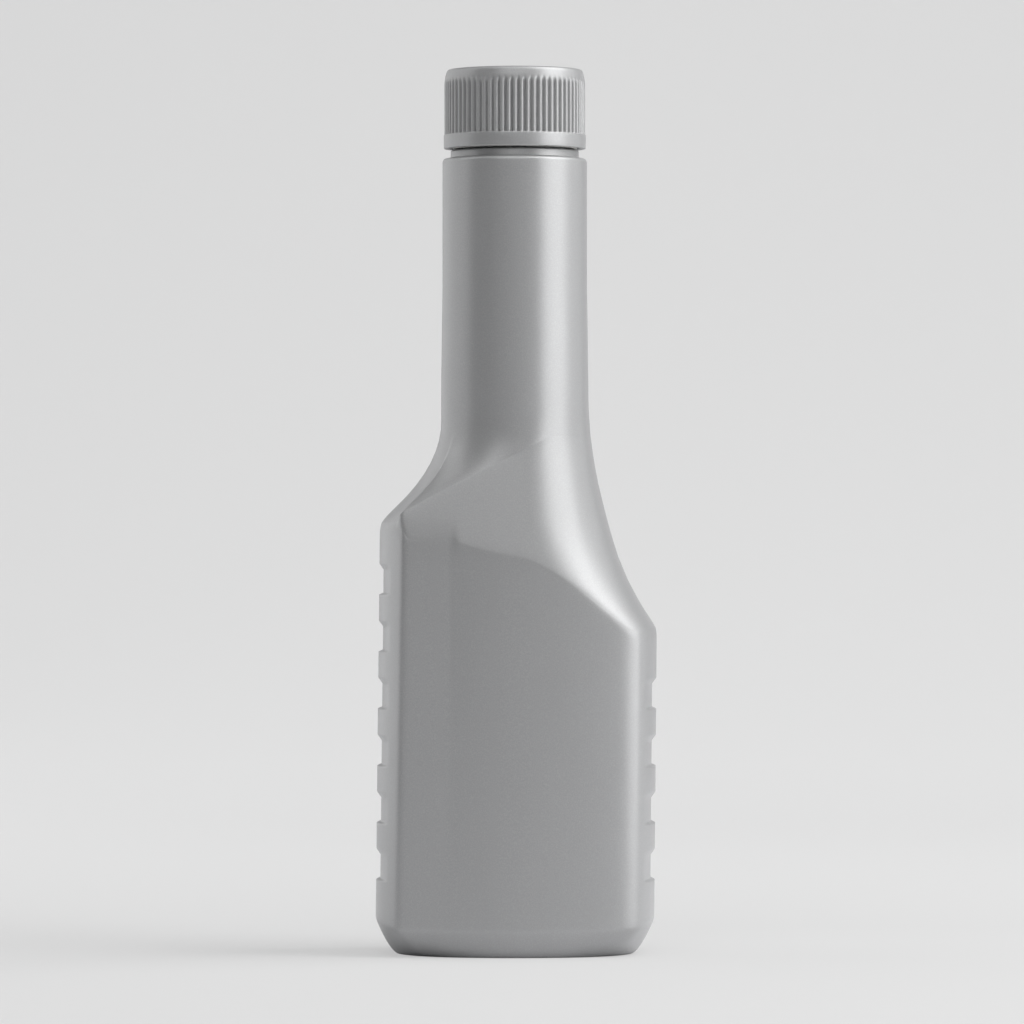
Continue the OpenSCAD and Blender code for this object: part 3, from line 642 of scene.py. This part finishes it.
nodeFinishes = {
    "bottle": "silverShell", "outer_cap": "silverCap", "inner_cap": "naturalInner", "cap_liner": "foamWad"}
for name, finish in nodeFinishes.items():
    node = nodes[name]
    for i in range(max(len(node.material_slots), 1)):
        if not node.material_slots:
            node.data.materials.append(materials[finish])
        node.material_slots[i].material = materials[finish]
print("materials given to the CAD nodes")

# Floor that sweeps up into a backdrop, lamps and camera
studio = {
    "backdropY": 1.3, "sweepR": 0.7, "sweepSteps": 24, "height": 2.6, "halfWidth": 3.0, "front": -3.2,
    "paper": (0.74, 0.74, 0.75, 1), "paperRoughness": 0.9, "paperSpecular": 0.2,
    # what the camera sees of the paper: a glow, and a lit share from floorEndY back to wallStartY
    "floorSeen": (0.22, 0.22, 0.22, 1), "wallSeen": (0.36, 0.36, 0.36, 1), "glow": 0.43,
    "floorEndY": 0.1, "wallStartY": 0.75, "ambient": 0.17, "ambientColour": (1, 1, 1, 1),
    "lamps": (  # name, azimuth from the camera's side, elevation, distance, width, tall, watts
        ("sideRight", 66, 8, 0.8, 0.64, 0.8, 5.3),
        ("edgeRight", 108, 8, 0.8, 0.6, 0.8, 1.1),
        ("highRight", 85, 50, 1.0, 0.8, 0.6, 7.8),
        ("overhead", 10, 75, 1.0, 0.9, 0.9, 4.0),
        ("sideLeft", -105, 8, 0.8, 0.9, 0.8, 2.1),
        ("rimLeft", -145, 8, 0.8, 0.35, 0.8, 0.6),
        ("highLeft", -100, 45, 1.0, 0.6, 0.5, 1.1),
        ("fill", -5, 35, 1.0, 0.7, 0.5, 1.3)),
    "aimZ": 0.105, "cameraX": -0.00066, "cameraZ": 0.1045, "distance": 1.6, "lens": 237.1, "sensor": 36,
}


def makeBackdrop():
    st = studio
    bm = bmesh.new()
    v = bm.verts.new((-st["halfWidth"], st["front"], 0))
    start = bmesh.ops.extrude_vert_indiv(bm, verts=[v])
    end = start["verts"][0]
    end.co.y = st["backdropY"] - st["sweepR"]
    bmesh.ops.spin(bm, geom=[end], cent=(0, end.co.y, st["sweepR"]), axis=(1, 0, 0), angle=math.pi / 2,
                   steps=st["sweepSteps"])
    tail = max(bm.verts, key=lambda p: (p.co.z, p.co.y))
    top = bmesh.ops.extrude_vert_indiv(bm, verts=[tail])["verts"][0]
    top.co.z = st["height"]
    wide = bmesh.ops.extrude_edge_only(bm, edges=bm.edges[:])
    moved = [g for g in wide["geom"] if isinstance(g, bmesh.types.BMVert)]
    bmesh.ops.translate(bm, vec=(2 * st["halfWidth"], 0, 0), verts=moved)
    bmesh.ops.recalc_face_normals(bm, faces=bm.faces[:])
    if sum(f.normal.z for f in bm.faces) < 0:
        bmesh.ops.reverse_faces(bm, faces=bm.faces[:])
    paper = bpy.data.materials.new("palePaper")
    paper.use_nodes = True
    tree = paper.node_tree
    shader = tree.nodes["Principled BSDF"]
    # The camera's view of the paper is toned alone, so the light thrown on the bottle stays the same
    straight = tree.nodes.new("ShaderNodeLightPath").outputs["Is Camera Ray"]
    place = tree.nodes.new("ShaderNodeSeparateXYZ")
    tree.links.new(tree.nodes.new("ShaderNodeTexCoord").outputs["Object"], place.inputs[0])
    deep = tree.nodes.new("ShaderNodeMapRange")
    deep.inputs["From Min"].default_value = st["floorEndY"]
    deep.inputs["From Max"].default_value = st["wallStartY"]
    tree.links.new(place.outputs["Y"], deep.inputs["Value"])
    seen = colourMix(tree, deep.outputs["Result"], st["floorSeen"], st["wallSeen"])
    tree.links.new(colourMix(tree, straight, st["paper"], seen), shader.inputs["Base Color"])
    shader.inputs["Emission Color"].default_value = (1, 1, 1, 1)
    tree.links.new(mathNode(tree, "MULTIPLY", straight, st["glow"]), shader.inputs["Emission Strength"])
    shader.inputs["Roughness"].default_value = st["paperRoughness"]
    shader.inputs["Specular IOR Level"].default_value = st["paperSpecular"]
    return asPiece(bm, "backdrop", paper)


def makeLamps():
    target = Vector((0, 0, studio["aimZ"]))
    for name, azimuth, elevation, distance, width, tall, watts in studio["lamps"]:
        data = bpy.data.lights.new(name, "AREA")
        data.shape = "RECTANGLE"
        data.size, data.size_y, data.energy = width, tall, watts
        lamp = bpy.data.objects.new(name, data)
        away = Vector((sinD(azimuth) * cosD(elevation), -cosD(azimuth) * cosD(elevation), sinD(elevation)))
        lamp.location = target + away * distance
        lamp.rotation_euler = (-away).to_track_quat("-Z", "Y").to_euler()
        bpy.context.scene.collection.objects.link(lamp)


def makeWorld():
    world = bpy.data.worlds.new("studio")
    world.use_nodes = True
    background = world.node_tree.nodes["Background"]
    background.inputs["Color"].default_value = studio["ambientColour"]
    background.inputs["Strength"].default_value = studio["ambient"]
    bpy.context.scene.world = world


def makeCamera():
    data = bpy.data.cameras.new("camera")
    data.lens, data.sensor_width = studio["lens"], studio["sensor"]
    camera = bpy.data.objects.new("camera", data)
    camera.location = (studio["cameraX"], -studio["distance"], studio["cameraZ"])
    camera.rotation_euler = (math.pi / 2, 0, 0)
    bpy.context.scene.collection.objects.link(camera)
    bpy.context.scene.camera = camera


makeBackdrop()
makeLamps()
makeWorld()
makeCamera()
bpy.context.scene.view_settings.view_transform = "Standard"
print("studio set")
